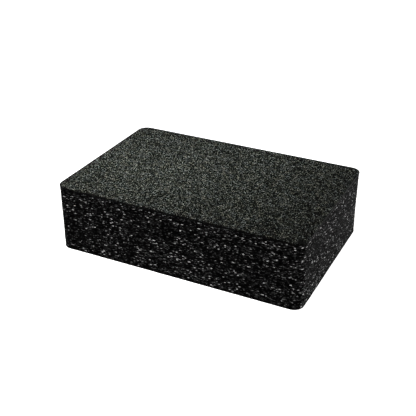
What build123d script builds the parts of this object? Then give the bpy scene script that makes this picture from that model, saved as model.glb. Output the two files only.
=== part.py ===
from build123d import *
import os

# Balance pad: a rectangular block of closed-cell foam that a person stands on.
#
# The block is built up from equal sheets of foam, joined face to face by melting their
# surfaces together. Each joint leaves a thin dense weld. The top and the underside keep the
# dense closed skin of the sheet stock, and the four sides are cut, so they show the open cells.
#
# Frame: millimetres, +Z up, origin at the middle of the underside, +X along the length.

# Driving dimensions
PAD_LENGTH = 375.0
PAD_WIDTH = 246.0
SHEET_COUNT = 5
SHEET_STOCK = 20.0       # thickness of one sheet as bought, with half a weld or a skin on each face
CORNER_RADIUS = 15.0     # upright corners of the block
SKIN_THICKNESS = 2.0
SKIN_EDGE_RADIUS = 0.8   # the skin is drawn down a little where it was cut
WELD_THICKNESS = 0.4
WELD_RECESS = 0.3        # a weld shrinks back from the cut side as it cools

pad_height = SHEET_COUNT * SHEET_STOCK
top_skin_bottom = pad_height - SKIN_THICKNESS
weld_heights = [number * SHEET_STOCK for number in range(1, SHEET_COUNT)]


def block_layer(bottom, top, inset=0.0):
    """One flat layer of the block between two heights, its outline drawn in by inset."""
    with BuildPart() as layer:
        with BuildSketch(Plane.XY.offset(bottom)):
            RectangleRounded(
                PAD_LENGTH - 2 * inset,
                PAD_WIDTH - 2 * inset,
                CORNER_RADIUS - inset,
            )
        extrude(amount=top - bottom)
    return layer.part


def save(solid, name):
    """Label a finished piece and write it to its own STEP file."""
    solid.label = name
    export_step(solid, f"parts/{name}.step")


os.makedirs("parts", exist_ok=True)

# Underside skin: the dense layer that lies on the floor, with its outer edge eased.
with BuildPart() as bottom_skin:
    add(block_layer(0, SKIN_THICKNESS))
    fillet(bottom_skin.faces().sort_by(Axis.Z)[0].edges(), radius=SKIN_EDGE_RADIUS)
save(bottom_skin.part, "bottom_skin")

# Foam sheets: each reaches from the skin or weld below it to the weld or skin above it.
sheet_bottoms = [SKIN_THICKNESS] + [height + WELD_THICKNESS / 2 for height in weld_heights]
sheet_tops = [height - WELD_THICKNESS / 2 for height in weld_heights] + [top_skin_bottom]
for number, (bottom, top) in enumerate(zip(sheet_bottoms, sheet_tops), start=1):
    with BuildPart() as foam_sheet:
        add(block_layer(bottom, top))
    save(foam_sheet.part, f"foam_sheet_{number}")

# Welds: dense films where two sheets were melted together, counted from the floor up.
for number, height in enumerate(weld_heights, start=1):
    with BuildPart() as weld:
        add(block_layer(height - WELD_THICKNESS / 2, height + WELD_THICKNESS / 2, WELD_RECESS))
    save(weld.part, f"weld_{number}")

# Top skin: the dense layer that the feet stand on, with its outer edge eased.
with BuildPart() as top_skin:
    add(block_layer(top_skin_bottom, pad_height))
    fillet(top_skin.faces().sort_by(Axis.Z)[-1].edges(), radius=SKIN_EDGE_RADIUS)
save(top_skin.part, "top_skin")
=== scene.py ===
import math

import bpy
import numpy as np
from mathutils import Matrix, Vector


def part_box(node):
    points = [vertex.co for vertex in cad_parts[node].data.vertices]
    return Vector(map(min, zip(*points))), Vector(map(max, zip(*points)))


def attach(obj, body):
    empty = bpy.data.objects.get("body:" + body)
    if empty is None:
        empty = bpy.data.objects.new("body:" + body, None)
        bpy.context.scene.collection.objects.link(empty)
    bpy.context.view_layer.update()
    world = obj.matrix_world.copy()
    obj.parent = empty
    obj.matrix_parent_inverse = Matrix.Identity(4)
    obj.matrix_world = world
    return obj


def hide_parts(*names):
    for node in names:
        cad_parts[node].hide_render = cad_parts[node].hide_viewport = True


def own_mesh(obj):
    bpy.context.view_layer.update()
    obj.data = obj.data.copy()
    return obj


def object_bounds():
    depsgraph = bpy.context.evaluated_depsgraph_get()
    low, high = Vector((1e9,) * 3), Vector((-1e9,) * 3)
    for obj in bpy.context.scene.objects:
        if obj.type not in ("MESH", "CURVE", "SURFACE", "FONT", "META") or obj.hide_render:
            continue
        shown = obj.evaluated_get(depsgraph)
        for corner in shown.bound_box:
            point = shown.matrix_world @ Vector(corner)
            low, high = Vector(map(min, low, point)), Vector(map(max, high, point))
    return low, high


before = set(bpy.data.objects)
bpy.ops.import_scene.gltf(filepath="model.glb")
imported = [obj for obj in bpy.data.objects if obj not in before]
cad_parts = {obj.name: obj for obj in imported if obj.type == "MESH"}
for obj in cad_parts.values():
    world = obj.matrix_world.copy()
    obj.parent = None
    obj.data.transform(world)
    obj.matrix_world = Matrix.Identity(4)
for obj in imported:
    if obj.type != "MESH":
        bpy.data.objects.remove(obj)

# Looks for a balance pad: five foam sheets welded into one block, with a dense skin above and below.
# Lengths are in metres. The four sides are cut foam, so their cells stand open as small cups.

MM = 0.001
cad_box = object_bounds()
pad_low, pad_high = cad_box
pad_middle = (pad_low + pad_high) / 2
half_length = (pad_high.x - pad_low.x) / 2
half_width = (pad_high.y - pad_low.y) / 2
CORNER_RADIUS = 15 * MM
straight_x = half_length - CORNER_RADIUS       # where the corner arcs begin
straight_y = half_width - CORNER_RADIUS

SHEET_COUNT = 5


# ---------------------------------------------------------------- repeatable noise

def lattice_random(cells, seed):
    """A number from 0 to 1 for each whole-numbered lattice cell, the same on every run."""
    x, y, z = (cells[..., axis].astype(np.int64).astype(np.uint32) for axis in range(3))
    h = x * np.uint32(374761393) + y * np.uint32(668265263) + z * np.uint32(2246822519)
    h = h + np.uint32(seed * 3266489917 % 2 ** 32)
    h = (h ^ (h >> np.uint32(13))) * np.uint32(1274126177)
    h = (h ^ (h >> np.uint32(15))) * np.uint32(2654435761)
    h = h ^ (h >> np.uint32(16))
    return h / 2.0 ** 32


def smooth_noise(points, size, seed):
    """Soft noise from 0 to 1 with lumps of about the given size, which may differ from axis to axis."""
    scaled = points / np.asarray(size)
    corner = np.floor(scaled)
    t = scaled - corner
    t = t * t * (3 - 2 * t)
    total = np.zeros(points.shape[:-1])
    for offset in np.ndindex(2, 2, 2):
        offset = np.array(offset)
        weight = np.prod(np.where(offset == 1, t, 1 - t), axis=-1)
        total += weight * lattice_random(corner + offset, seed)
    return total


def smoothstep(low, high, value):
    t = np.clip((value - low) / (high - low), 0, 1)
    return t * t * (3 - 2 * t)


CELL_MARGIN = 0.1      # a cell's middle keeps this far inside its place in the lattice
TONE_SEED = 7          # keeps a cell's own random number apart from the ones that place it


def foam_cells(points, size, seed):
    """Which gas cell of the foam each point lies in: the vector from the point to the cell's middle, how
    much further off the next cell's middle is, both in cell sizes, and a random number for the cell."""
    scaled = points / np.asarray(size)
    home = np.floor(scaled)
    first = np.full(points.shape[:-1], 1e9)
    second = np.full(points.shape[:-1], 1e9)
    middle = np.zeros_like(points)
    tone = np.zeros(points.shape[:-1])
    for offset in np.ndindex(3, 3, 3):
        cell = home + np.array(offset) - 1
        jitter = np.stack([lattice_random(cell, seed + axis) for axis in range(3)], axis=-1)
        towards = cell + CELL_MARGIN + (1 - 2 * CELL_MARGIN) * jitter - scaled
        distance = np.linalg.norm(towards, axis=-1)
        nearer = distance < first
        second = np.where(nearer, first, np.minimum(second, distance))
        middle = np.where(nearer[..., None], towards, middle)
        tone = np.where(nearer, lattice_random(cell, seed + TONE_SEED), tone)
        first = np.where(nearer, distance, first)
    return middle, second - first, tone


# ---------------------------------------------------------------- outline and meshes

def outline(count):
    """Points evenly spaced round the block's rounded outline, and the outward direction at each."""
    arc = math.pi / 2 * CORNER_RADIUS
    runs = np.array([2 * straight_y, arc, 2 * straight_x, arc] * 2)
    ends = np.cumsum(runs)
    along = np.arange(count) / count * ends[-1]
    run = np.searchsorted(ends, along, side="right")
    past = along - (ends - runs)[run]
    side, on_arc = run // 2, run % 2 == 1
    angle = side * math.pi / 2 + np.where(on_arc, past / CORNER_RADIUS, 0)
    out = np.stack([np.cos(angle), np.sin(angle)], axis=-1)
    tangent = np.stack([-out[:, 1], out[:, 0]], axis=-1)
    arc_middles = np.array([(1, 1), (-1, 1), (-1, -1), (1, -1)]) * (straight_x, straight_y)
    before_arc = np.where(on_arc, 0, runs[run] - past)
    points = arc_middles[side] + out * CORNER_RADIUS - tangent * before_arc[:, None]
    return points, out


perimeter = 4 * (straight_x + straight_y) + 2 * math.pi * CORNER_RADIUS


def make_mesh(name, vertices, faces, flat_from):
    """A smooth-shaded mesh object; faces from index flat_from on are shaded flat."""
    mesh = bpy.data.meshes.new(name)
    mesh.from_pydata(vertices.tolist(), [], faces)
    smooth = np.arange(len(mesh.polygons)) < flat_from
    mesh.polygons.foreach_set("use_smooth", smooth)
    mesh.update()
    piece = bpy.data.objects.new(name, mesh)
    bpy.context.scene.collection.objects.link(piece)
    return piece


def add_attribute(piece, name, values):
    """A number at each vertex that the piece's material reads."""
    attribute = piece.data.attributes.new(name, "FLOAT", "POINT")
    attribute.data.foreach_set("value", np.asarray(values, np.float32))


def strip_faces(rings):
    """Four-sided faces between neighbouring closed rings of vertex numbers."""
    following = np.roll(rings, -1, axis=1)
    faces = np.stack([rings[:-1], following[:-1], following[1:], rings[1:]], axis=-1)
    return faces.reshape(-1, 4).tolist()


def fan_faces(ring, hub, upward):
    """Three-sided faces from a closed ring of vertex numbers to one vertex inside it."""
    pairs = zip(ring.tolist(), np.roll(ring, -1).tolist())
    return [(hub, a, b) if upward else (hub, b, a) for a, b in pairs]


# ---------------------------------------------------------------- cut foam sheets

CELL_SIZE = np.array([3.0, 3.2, 1.05]) * MM      # longest the way the foam was extruded, and flat
CELL_SPAN = 0.62             # a cell's radius, in cell sizes
SIDE_STEP = 0.9 * MM         # mesh spacing round the block
ROW_STEP = 0.28 * MM         # mesh spacing up the side
CUP_DEPTH = 1.0 * MM         # the deepest that an opened cell goes
WALL_REACH = 0.25            # a cup is at its full depth where the next cell's middle is this much further
SHUT_REACH = 0.2 * MM        # no cell is open this close to a weld or skin
DENSE_REACH = 1.2 * MM       # and all are, this far from one
SKIN_REACH = 2.6 * MM        # but under the top skin the foam stays fairly dense this far down
WAVE_DEPTH = 0.3 * MM        # the cut wanders slowly in and out
WAVE_SIZE = np.array([38, 38, 14]) * MM
FOAM_OUTSET = 0.05 * MM      # so that the cut wanders to either side of the block's outline
WELD_STEP = 1.0 * MM         # mesh spacing round a weld
WELD_ROWS = 3
WELD_RECESS = 0.35 * MM      # how far behind the cut a weld lies, give or take
WELD_LUMPS = np.array([5, 5, 0.4]) * MM
top_skin_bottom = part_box("top_skin")[0].z

# a pale film lies in each cell, partly its own pale colour and partly a painted glint on its lower lip,
# which faces the light above: where its middle is and how big it is, in cell sizes
FILM_DROP = 0.15             # below the cell's middle
FILM_HEIGHT = 0.23
FILM_LENGTH = 0.25
FILM_LENGTH_SPREAD = 0.45    # the longest are this much longer than the shortest
FILM_EDGE = 1.3              # how sharply a film fades at its edge
FILM_LUMPS = np.array([1.6, 1.3, 0.9]) * MM
LUMP_CONTRAST = 3

# how pale it is goes by the cell's random number: most cells are dull, and few are bright; the brightest
# films are painted glints
FILM_LEVEL = 2.1
FILM_CONTRAST = 7
FIRST_GLINT_FROM = 0.94           # the films of cells above this are boosted into painted glints
FIRST_GLINT_BOOST = 3.6
SECOND_GLINT_FROM = 0.99        # and those above this once more
SECOND_GLINT_BOOST = 8
DULL_LEVEL = 0.14            # the rest of a cell, outside its film
DULL_CONTRAST = 5.5
SHUT_LEVEL = 0.12            # the share of film and rest that is left where no cell is open
END_FACING = 6               # how squarely a place must face right to count as the right end
END_PAINTED_LIGHT_FLOOR = 1.7              # painted light: there film and rest gain this share at the floor
END_PAINTED_LIGHT_DROP = 1.5         # and this much less of it at the block's top


def cut_wave(points):
    """How far the cut lies inside the outline at each point: it wanders slowly in and out."""
    return WAVE_DEPTH * smooth_noise(points, WAVE_SIZE, seed=5) - FOAM_OUTSET


def side_wall(columns, heights):
    """Points all the way round the block at each height, and the outward direction at each."""
    points = np.empty((len(heights), columns, 3))
    out = np.zeros_like(points)
    points[..., :2], out[..., :2] = outline(columns)
    points[..., 2] = np.asarray(heights)[:, None]
    return points, out


def closed_wall(name, points):
    """A piece from rings of side points, closed flat below and above."""
    rings = np.arange(points.shape[0] * points.shape[1]).reshape(points.shape[:2])
    below, above = rings.size, rings.size + 1
    ends = [[0, 0, points[0, 0, 2]], [0, 0, points[-1, 0, 2]]]
    walls = strip_faces(rings)
    caps = fan_faces(rings[0], below, False) + fan_faces(rings[-1], above, True)
    return make_mesh(name, np.vstack([points.reshape(-1, 3), ends]), walls + caps, flat_from=len(walls))


def weld(number):
    """The melted film between two sheets, a little behind the cut and uneven along its edge."""
    low, high = (corner.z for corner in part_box(f"weld_{number}"))
    points, out = side_wall(round(perimeter / WELD_STEP), np.linspace(low, high, WELD_ROWS))
    ragged = smooth_noise(points, WELD_LUMPS, seed=61) - 0.5
    points -= out * (cut_wave(points) + WELD_RECESS * (1 + ragged))[..., None]
    return closed_wall(f"weld_film_{number}", points)


def film_and_glint_paleness(points, out, sideways, tone):
    """How pale the cut side is: each cell is dull, with a brighter film in its lower half, partly the
    film's own pale colour and partly a painted glint; the right end is painted paler still as painted
    light, most at the floor.
    """
    other = tone * 97.13 % 1          # a second random number for the cell
    across = np.linalg.norm(sideways[..., :2], axis=-1) / (FILM_LENGTH + FILM_LENGTH_SPREAD * other)
    upright = (sideways[..., 2] - FILM_DROP) / FILM_HEIGHT
    spot = np.exp(-across ** 2 - upright ** 2)
    # painted glints: the films of the brightest cells are boosted
    glint_boost = (1 + FIRST_GLINT_BOOST * smoothstep(FIRST_GLINT_FROM, 1, tone)
             + SECOND_GLINT_BOOST * smoothstep(SECOND_GLINT_FROM, 1, tone))
    glint_and_film = np.exp(FILM_CONTRAST * (tone - 0.5)) * glint_boost
    dull = DULL_LEVEL * np.exp(DULL_CONTRAST * (tone - 0.5))
    lumps = smooth_noise(points, FILM_LUMPS, seed=31)
    film = np.exp(LUMP_CONTRAST * (lumps - 0.5)) * (dull + FILM_LEVEL * glint_and_film * spot ** FILM_EDGE)
    # painted light: the right end is painted paler, most at the floor and less towards the top
    end_light_mask = np.clip(out[..., 0], 0, 1) ** END_FACING
    film *= 1 + end_light_mask * (END_PAINTED_LIGHT_FLOOR - END_PAINTED_LIGHT_DROP * points[..., 2] / pad_high.z)
    return film


def foam_sheet(number):
    """One sheet of foam, its cut side a wall of opened cells between two dense shoulders."""
    low, high = (corner.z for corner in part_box(f"foam_sheet_{number}"))
    rows = round((high - low) / ROW_STEP) + 1
    points, out = side_wall(round(perimeter / SIDE_STEP), np.linspace(low, high, rows))

    # each opened cell is a cup, part of an ellipsoid round the cell's middle
    middle, wall, tone = foam_cells(points, CELL_SIZE, seed=11)
    inward = -np.sum(middle * CELL_SIZE * out, axis=-1)           # how deep the cell's middle lies
    sideways = middle + inward[..., None] * out / CELL_SIZE
    spread = np.sum(sideways ** 2, axis=-1) / CELL_SPAN ** 2
    cell_radius = CELL_SPAN * np.linalg.norm(CELL_SIZE * out, axis=-1)
    cup = inward + cell_radius * np.sqrt(np.clip(1 - spread, 0, 1))
    cup = np.clip(cup, 0, CUP_DEPTH) * smoothstep(0.0, WALL_REACH, wall)
    from_end = np.minimum(points[..., 2] - low, high - points[..., 2])
    openness = smoothstep(SHUT_REACH, DENSE_REACH, from_end)
    openness *= smoothstep(0, SKIN_REACH, top_skin_bottom - points[..., 2])
    points -= out * (cup * openness + cut_wave(points))[..., None]

    film = film_and_glint_paleness(points, out, sideways, tone)
    film *= SHUT_LEVEL + (1 - SHUT_LEVEL) * openness
    piece = closed_wall(f"cut_foam_{number}", points)
    add_attribute(piece, "film", np.append(film, [0, 0]))
    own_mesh(piece)
    return piece


# ---------------------------------------------------------------- skins

SKIN_STEP = 1.05 * MM         # mesh spacing on the broad faces
CORNER_STEPS = 18             # mesh steps round a corner
RIM_RADIUS = 0.5 * MM         # the cut edge is eased this much
RIM_ROUNDS = 4                # mesh rows round the eased edge
RIM_ROWS = 4                  # and down the cut below it
RIM_NIBBLE = np.array([2.2, 2.2, 0.9]) * MM
RIM_WANDER = 17 * MM
RIM_RAGGED = 0.3 * MM         # how far each of these two moves the cut edge
SKIN_OUTSET = 0.25 * MM       # how far outside the block's outline it lies on average

RIM_WIDTH = 1.55 * MM         # the face is pressed dark this far in from its cut edge, give or take
RIM_SHADE_LEAN = 1.65 * MM          # and further in along the back and the left, where the extra width is painted shade
RIM_LUMPS = 9 * MM
RIM_LUMPLETS = 3 * MM
RIM_UNEVEN = 0.6              # how much the two make that width vary, in widths

PEBBLE_SIZE = 3.2 * MM
GAP_REACH = 0.5               # a gap ends where the next pebble's middle is this much further off
GAP_DARK = 0.35               # the share of its colour that a gap loses
SWELL_SIZE = 45 * MM
PEBBLE_SHARE = 0.6            # of the relief, and the slow swell has the rest
TOP_RELIEF = 0.35 * MM        # from the highest pebble to the deepest gap
TOP_LIFT = 0.3 * MM           # the face is raised this much before its relief is cut into it
UNDERSIDE_RELIEF = 0.2 * MM   # the underside's pebbles are worn flatter


def skin_grid(z):
    """Points over the block's rounded outline, less its eased edge, as a grid at one height."""
    radius = CORNER_RADIUS - RIM_RADIUS
    turns = np.linspace(0, math.pi / 2, CORNER_STEPS + 1)[1:]
    even = np.linspace(-straight_y, straight_y, round(2 * straight_y / SKIN_STEP) + 1)
    corner_y, corner_reach = radius * np.sin(turns), radius * np.cos(turns)
    ys = np.concatenate([-straight_y - corner_y[::-1], even, straight_y + corner_y])
    reach = np.concatenate([corner_reach[::-1], np.full(len(even), radius), corner_reach])
    across = np.linspace(-1, 1, round(2 * half_length / SKIN_STEP) + 1)
    grid = np.empty((len(ys), len(across), 3))
    grid[..., 0] = (straight_x + reach)[:, None] * across
    grid[..., 1] = ys[:, None]
    grid[..., 2] = z
    return grid


def pressed_rim_and_shade(grid):
    """1 where the face was pressed down as its edge was cut, and 0 further in; along the back and the left
    the band is widened with painted shade.
    """
    past = np.abs(grid[..., :2]) - (straight_x, straight_y)
    most_past = past.max(axis=-1, keepdims=True)
    in_corner = np.clip(past, 0, None)
    to_edge = CORNER_RADIUS - np.linalg.norm(in_corner, axis=-1) - np.clip(most_past[..., 0], None, 0)
    nearest = np.where(most_past > 0, in_corner, past == most_past)      # the way to the nearest edge
    nearest = nearest * np.sign(grid[..., :2]) / np.linalg.norm(nearest, axis=-1, keepdims=True)
    # painted shade: the dark band is wider along the back and the left, and narrower along the front and
    # the right
    width = RIM_WIDTH + RIM_SHADE_LEAN * (nearest[..., 1] - nearest[..., 0]) / math.sqrt(2)
    uneven = smooth_noise(grid, RIM_LUMPS, seed=47) + smooth_noise(grid, RIM_LUMPLETS, seed=53)
    return 1 - smoothstep(0.5, 1, to_edge / width + RIM_UNEVEN * (uneven - 1))


def skin_rim(edge_points, face_z, depth, down, lift):
    """Rings of points that carry on from the face's edge, round the eased edge and down the cut."""
    beyond = np.clip(np.abs(edge_points[:, :2]) - (straight_x, straight_y), 0, None)
    beyond *= np.sign(edge_points[:, :2])
    out = beyond / np.linalg.norm(beyond, axis=-1, keepdims=True)
    turns = np.linspace(0, math.pi / 2, RIM_ROUNDS + 1)[1:]
    drops = np.concatenate([RIM_RADIUS * (1 - np.cos(turns)),
                            np.linspace(RIM_RADIUS, depth, RIM_ROWS + 1)[1:]])
    steps_out = np.concatenate([RIM_RADIUS * np.sin(turns), np.full(RIM_ROWS, RIM_RADIUS)])
    rim = np.empty((len(drops), len(edge_points), 3))
    rim[..., :2] = edge_points[:, :2] + steps_out[:, None, None] * out
    rim[..., 2] = face_z + lift * (1 - drops / depth)[:, None] - down * drops[:, None]
    nibble = smooth_noise(rim, RIM_NIBBLE, seed=41)
    wander = smooth_noise(rim, RIM_WANDER, seed=43)
    ragged = RIM_RAGGED * (nibble - 0.5) + RIM_RAGGED * (wander - 0.5) - SKIN_OUTSET
    share = (steps_out / RIM_RADIUS)[:, None]
    rim[..., :2] -= (share * ragged)[..., None] * out
    return rim


def skin(node, name, face_up, relief, lift):
    """A dense skin: its broad face pebbled, its rim eased and a little ragged where it was cut."""
    low, high = (corner.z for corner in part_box(node))
    face_z, back_z = (high, low) if face_up else (low, high)
    down = 1 if face_up else -1       # from the broad face into the block
    grid = skin_grid(face_z + lift)
    pressed_and_shade = pressed_rim_and_shade(grid)

    # relief: pebbles between fine gaps, over a slow swell
    _, wall, _ = foam_cells(grid, PEBBLE_SIZE, seed=23)
    gap = 1 - smoothstep(0, GAP_REACH, wall)
    swell = smooth_noise(grid, SWELL_SIZE, seed=3)
    grid[..., 2] -= down * relief * (PEBBLE_SHARE * gap + (1 - PEBBLE_SHARE) * swell)

    numbers = np.arange(gap.size).reshape(gap.shape)
    # round the grid, counter-clockwise seen from above
    edge = np.concatenate([numbers[0, :-1], numbers[:-1, -1], numbers[-1, :0:-1], numbers[:0:-1, 0]])
    face_points = grid.reshape(-1, 3)
    rim = skin_rim(face_points[edge], face_z, high - low, down, lift)
    rim_count = rim.shape[0] * rim.shape[1]
    rings = np.vstack([edge, gap.size + np.arange(rim_count).reshape(rim.shape[:2])])
    hub = gap.size + rim_count

    face = np.stack([numbers[:-1, :-1], numbers[:-1, 1:], numbers[1:, 1:], numbers[1:, :-1]], axis=-1)
    face = face.reshape(-1, 4)
    side = np.array(strip_faces(rings))
    if face_up:
        side = side[:, ::-1]
    else:
        face = face[:, ::-1]
    outside = face.tolist() + side.tolist()
    back = fan_faces(rings[-1], hub, not face_up)
    vertices = np.vstack([face_points, rim.reshape(-1, 3), [[0, 0, back_z]]])
    piece = make_mesh(name, vertices, outside + back, flat_from=len(outside))
    # the cut side of each skin is darkened in full: its dense cut edge, and on the underside also painted
    # shade where the block meets the floor
    cut = np.ones(rim_count + 1)
    add_attribute(piece, "pressed_and_shade", np.append(pressed_and_shade.ravel(), cut))
    add_attribute(piece, "pebble", np.append((1 - GAP_DARK * gap).ravel(), cut))
    return piece


# ---------------------------------------------------------------- materials

def start_material(name):
    made = bpy.data.materials.new(name)
    made.use_nodes = True
    tree = made.node_tree
    return made, tree, next(n for n in tree.nodes if n.type == "BSDF_PRINCIPLED")


class Nodes:
    """Short names for the few kinds of node that the materials use."""

    def __init__(self, tree):
        self.tree = tree
        self.place = tree.nodes.new("ShaderNodeTexCoord").outputs["Object"]

    def feed(self, socket, value):
        if isinstance(value, bpy.types.NodeSocket):
            self.tree.links.new(value, socket)
        else:
            socket.default_value = value

    def attribute(self, name):
        node = self.tree.nodes.new("ShaderNodeAttribute")
        node.attribute_name = name
        return node.outputs["Fac"]

    def math(self, operation, *values):
        node = self.tree.nodes.new("ShaderNodeMath")
        node.operation = operation
        for socket, value in zip(node.inputs, values):
            self.feed(socket, value)
        return node.outputs[0]

    def stretched(self, size):
        """The place divided by a size for each axis, so that one unit is one lump."""
        node = self.tree.nodes.new("ShaderNodeMapping")
        node.inputs["Scale"].default_value = [1 / s for s in size]
        self.feed(node.inputs["Vector"], self.place)
        return node.outputs["Vector"]

    def noise(self, size, detail=2.0):
        node = self.tree.nodes.new("ShaderNodeTexNoise")
        node.inputs["Scale"].default_value = 1
        node.inputs["Detail"].default_value = detail
        self.feed(node.inputs["Vector"], self.stretched(size))
        return node.outputs["Fac"]

    def voronoi(self, place, feature="F1"):
        node = self.tree.nodes.new("ShaderNodeTexVoronoi")
        node.feature = feature
        node.inputs["Scale"].default_value = 1
        self.feed(node.inputs["Vector"], place)
        return node.outputs

    def warped(self, size, amount):
        """The place in lumps, pushed about by noise so that no edge between lumps stays straight."""
        noise = self.tree.nodes.new("ShaderNodeTexNoise")
        noise.inputs["Scale"].default_value = 1.3      # a little finer than the lumps
        noise.inputs["Detail"].default_value = 3
        place = self.stretched(size)
        self.feed(noise.inputs["Vector"], place)
        push = self.tree.nodes.new("ShaderNodeVectorMath")
        push.operation = "MULTIPLY_ADD"
        self.feed(push.inputs[0], noise.outputs["Color"])
        push.inputs[1].default_value = (amount, amount, amount)
        self.feed(push.inputs[2], place)
        return push.outputs[0]

    def ramp(self, value, *stops):
        """A colour for each value, from (position, colour) stops."""
        node = self.tree.nodes.new("ShaderNodeValToRGB")
        elements = node.color_ramp.elements
        while len(elements) < len(stops):
            elements.new(1)
        for element, (position, color) in zip(elements, stops):
            element.position = position
            element.color = (*color, 1)
        self.feed(node.inputs["Fac"], value)
        return node.outputs["Color"]

    def scaled(self, color, amount):
        """A colour times a number."""
        node = self.tree.nodes.new("ShaderNodeVectorMath")
        node.operation = "SCALE"
        self.feed(node.inputs[0], color)
        self.feed(node.inputs["Scale"], amount)
        return node.outputs[0]

    def bump(self, height, depth, strength=1.0):
        node = self.tree.nodes.new("ShaderNodeBump")
        node.inputs["Distance"].default_value = depth
        node.inputs["Strength"].default_value = strength
        self.feed(node.inputs["Height"], height)
        return node.outputs["Normal"]


FILM_GAIN = 0.0032       # the colour that a film of 1 has
FILM_PALEST = 0.9
FOAM_GLOSS = 0.0042
DULL_GLOSS = 0.01        # of the skins and the welds
SPECK_SIZE = np.array([1.0, 0.8, 0.6]) * MM
SPECK_CONTRAST = 3.0
SPECK_DEPTH = 0.25 * MM
FOAM_ROUGHNESS = 0.62
SPECK_SMOOTHER = 0.3     # how much less rough the palest specks are


def foam_material():
    made, tree, shader = start_material("cut_foam")
    n = Nodes(tree)
    film = n.attribute("film")
    speck = n.noise(SPECK_SIZE, detail=5)
    amount = n.math("MULTIPLY", film, n.math("POWER", n.math("MULTIPLY", speck, 2.0), SPECK_CONTRAST))
    amount = n.math("MINIMUM", n.math("MULTIPLY", amount, FILM_GAIN), FILM_PALEST)
    # the base colour carries the pale films with their painted glints, and the painted light on the right
    # end
    n.feed(shader.inputs["Base Color"], n.scaled((1.0, 1.0, 1.0), amount))
    n.feed(shader.inputs["Roughness"], n.math("MULTIPLY_ADD", speck, -SPECK_SMOOTHER, FOAM_ROUGHNESS))
    shader.inputs["Specular IOR Level"].default_value = FOAM_GLOSS
    n.feed(shader.inputs["Normal"], n.bump(speck, SPECK_DEPTH))
    return made


GRAIN_SIZE = np.array([1.0, 1.0, 1.0]) * MM
GRAIN_WARP = 0.6         # in grains
GRAIN_GAP = 0.25         # how wide the gap round a grain is, in grains
GRAIN_CONTRAST = 9.0     # few grains are light and most are dark
GRAIN_LIGHT = 0.78
GRAIN_DARK = 0.001
GRAIN_DEPTH = 0.3 * MM
HUE_SIZE = np.array([7, 7, 7]) * MM
WARM_HUE = (1.02, 1.04, 0.82)
COOL_HUE = (0.92, 1.04, 1.0)
PRESSED_AND_SHADE_DARK = 0.92      # the share of its colour that the pressed rim and the skins' cut sides lose, part of it painted shade
SKIN_ROUGHNESS = 0.75
PRESSED_SMOOTHER = 0.28


def skin_material():
    made, tree, shader = start_material("foam_skin")
    n = Nodes(tree)
    pressed_and_shade = n.attribute("pressed_and_shade")
    grain = n.warped(GRAIN_SIZE, GRAIN_WARP)
    split = tree.nodes.new("ShaderNodeSeparateColor")
    n.feed(split.inputs[0], n.voronoi(grain)["Color"])
    tone = split.outputs["Red"]
    gap = n.voronoi(grain, "DISTANCE_TO_EDGE")["Distance"]
    open_gap = n.math("SMOOTH_MIN", n.math("MULTIPLY", gap, 1 / GRAIN_GAP), 1.0, 0.4)
    amount = n.math("MULTIPLY", n.math("POWER", tone, GRAIN_CONTRAST), open_gap)
    amount = n.math("MULTIPLY_ADD", amount, GRAIN_LIGHT, GRAIN_DARK)
    amount = n.math("MULTIPLY", amount, n.attribute("pebble"))
    # darker over the pressed rim and the cut sides, partly painted shade
    amount = n.math("MULTIPLY", amount, n.math("MULTIPLY_ADD", pressed_and_shade, -PRESSED_AND_SHADE_DARK, 1.0))
    hue = n.ramp(n.noise(HUE_SIZE, detail=3), (0.35, WARM_HUE), (0.65, COOL_HUE))
    n.feed(shader.inputs["Base Color"], n.scaled(hue, amount))
    rough = n.math("MULTIPLY_ADD", pressed_and_shade, -PRESSED_SMOOTHER, SKIN_ROUGHNESS)
    n.feed(shader.inputs["Roughness"], rough)
    shader.inputs["Specular IOR Level"].default_value = DULL_GLOSS
    n.feed(shader.inputs["Normal"], n.bump(open_gap, GRAIN_DEPTH, strength=0.6))
    return made


STREAK_SIZE = np.array([6, 6, 0.3]) * MM
WELD_DARK = (0.002, 0.002, 0.002)
WELD_LIGHT = (0.012, 0.012, 0.012)
STREAK_DEPTH = 0.1 * MM


def weld_material():
    made, tree, shader = start_material("weld")
    n = Nodes(tree)
    streak = n.noise(STREAK_SIZE)
    n.feed(shader.inputs["Base Color"], n.ramp(streak, (0.3, WELD_DARK), (0.8, WELD_LIGHT)))
    shader.inputs["Roughness"].default_value = 0.7
    shader.inputs["Specular IOR Level"].default_value = DULL_GLOSS
    n.feed(shader.inputs["Normal"], n.bump(streak, STREAK_DEPTH))
    return made


foam = foam_material()
skin_surface = skin_material()
weld_surface = weld_material()

for number in range(1, SHEET_COUNT + 1):
    piece = foam_sheet(number)
    piece.data.materials.append(foam)
    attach(piece, "base" if number == 1 else f"layer_{number}")
    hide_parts(f"foam_sheet_{number}")

for number in range(1, SHEET_COUNT):
    film = weld(number)
    film.data.materials.append(weld_surface)
    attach(film, f"layer_{number + 1}")
    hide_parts(f"weld_{number}")

top = skin("top_skin", "top_face", True, TOP_RELIEF, TOP_LIFT)
top.data.materials.append(skin_surface)
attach(top, "top")
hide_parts("top_skin")

underside = skin("bottom_skin", "underside", False, UNDERSIDE_RELIEF, 0)
underside.data.materials.append(skin_surface)
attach(underside, "base")
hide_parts("bottom_skin")

# ---------------------------------------------------------------- camera, floor and light

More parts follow.
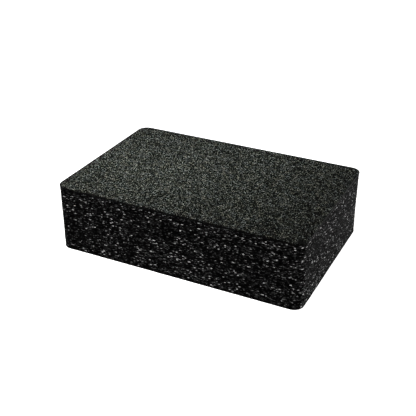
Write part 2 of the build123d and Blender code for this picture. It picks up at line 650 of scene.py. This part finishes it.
CAMERA_TURN, CAMERA_RISE = math.radians(26.31), math.radians(28.41)
CAMERA_DISTANCE = 1.1628
CAMERA_LENS = 67.9       # millimetres
AIM_OFFSET = Vector((-0.0047, -0.0033, 0))      # from the pad's middle
camera_target = pad_middle + AIM_OFFSET
back = Vector((
    math.sin(CAMERA_TURN) * math.cos(CAMERA_RISE),
    -math.cos(CAMERA_TURN) * math.cos(CAMERA_RISE),
    math.sin(CAMERA_RISE),
))
camera_data = bpy.data.cameras.new("camera")
camera_data.lens = CAMERA_LENS
camera = bpy.data.objects.new("camera", camera_data)
camera.location = camera_target + back * CAMERA_DISTANCE
camera.rotation_euler = (-back).to_track_quat("-Z", "Y").to_euler()
bpy.context.scene.collection.objects.link(camera)
bpy.context.scene.camera = camera
bpy.context.scene.view_settings.view_transform = "Standard"

# a wide floor that curves up into a low wall, so that low views see no horizon
FLOOR_RADIUS = 9
CURVE_RADIUS = 1.5
WALL_HEIGHT = 2.6
FLOOR_SIDES = 96
CURVE_STEPS = 12
turn = np.linspace(0, math.pi / 2, CURVE_STEPS + 1)
reach = np.concatenate([FLOOR_RADIUS + CURVE_RADIUS * np.sin(turn), [FLOOR_RADIUS + CURVE_RADIUS]])
height = np.concatenate([CURVE_RADIUS * (1 - np.cos(turn)), [WALL_HEIGHT]])
around = np.arange(FLOOR_SIDES) * 2 * math.pi / FLOOR_SIDES
rings = np.stack(np.broadcast_arrays(
    reach[:, None] * np.cos(around), reach[:, None] * np.sin(around), height[:, None]), axis=-1)
numbers = np.arange(rings.shape[0] * FLOOR_SIDES).reshape(rings.shape[0], FLOOR_SIDES)
floor_faces = [numbers[0].tolist()] + strip_faces(numbers[::-1])
floor = make_mesh("floor", rings.reshape(-1, 3), floor_faces, flat_from=0)
floor_surface, _, floor_shader = start_material("floor")
floor_shader.inputs["Base Color"].default_value = (0.85, 0.85, 0.85, 1)
floor_shader.inputs["Roughness"].default_value = 0.9
floor_shader.inputs["Specular IOR Level"].default_value = 0.0
floor_shader.inputs["Emission Color"].default_value = (1, 1, 1, 1)
floor_shader.inputs["Emission Strength"].default_value = 1.0
floor.data.materials.append(floor_surface)


def soft_light(name, place, target, size, power, spread=180):
    data = bpy.data.lights.new(name, "AREA")
    data.shape = "RECTANGLE"
    data.size, data.size_y = size
    data.energy = power
    data.spread = math.radians(spread)
    lamp = bpy.data.objects.new(name, data)
    lamp.location = place
    lamp.rotation_euler = (Vector(target) - Vector(place)).to_track_quat("-Z", "Y").to_euler()
    lamp.visible_camera = False
    bpy.context.scene.collection.objects.link(lamp)


# above the pad's left
soft_light("key", place=(-0.46, -0.165, 0.68), target=(-0.09, 0.0, 0.1), size=(0.32, 0.32),
           power=0.76, spread=34)
# low and far behind on the right, so that it grazes the right end
soft_light("right_rim", place=(1.48, 3.04, 0.06), target=(0.19, 0, 0.05), size=(0.6, 0.12), power=53)

world = bpy.data.worlds.new("studio")
world.use_nodes = True
background = world.node_tree.nodes["Background"]
background.inputs["Color"].default_value = (1, 1, 1, 1)
background.inputs["Strength"].default_value = 0.33
bpy.context.scene.world = world
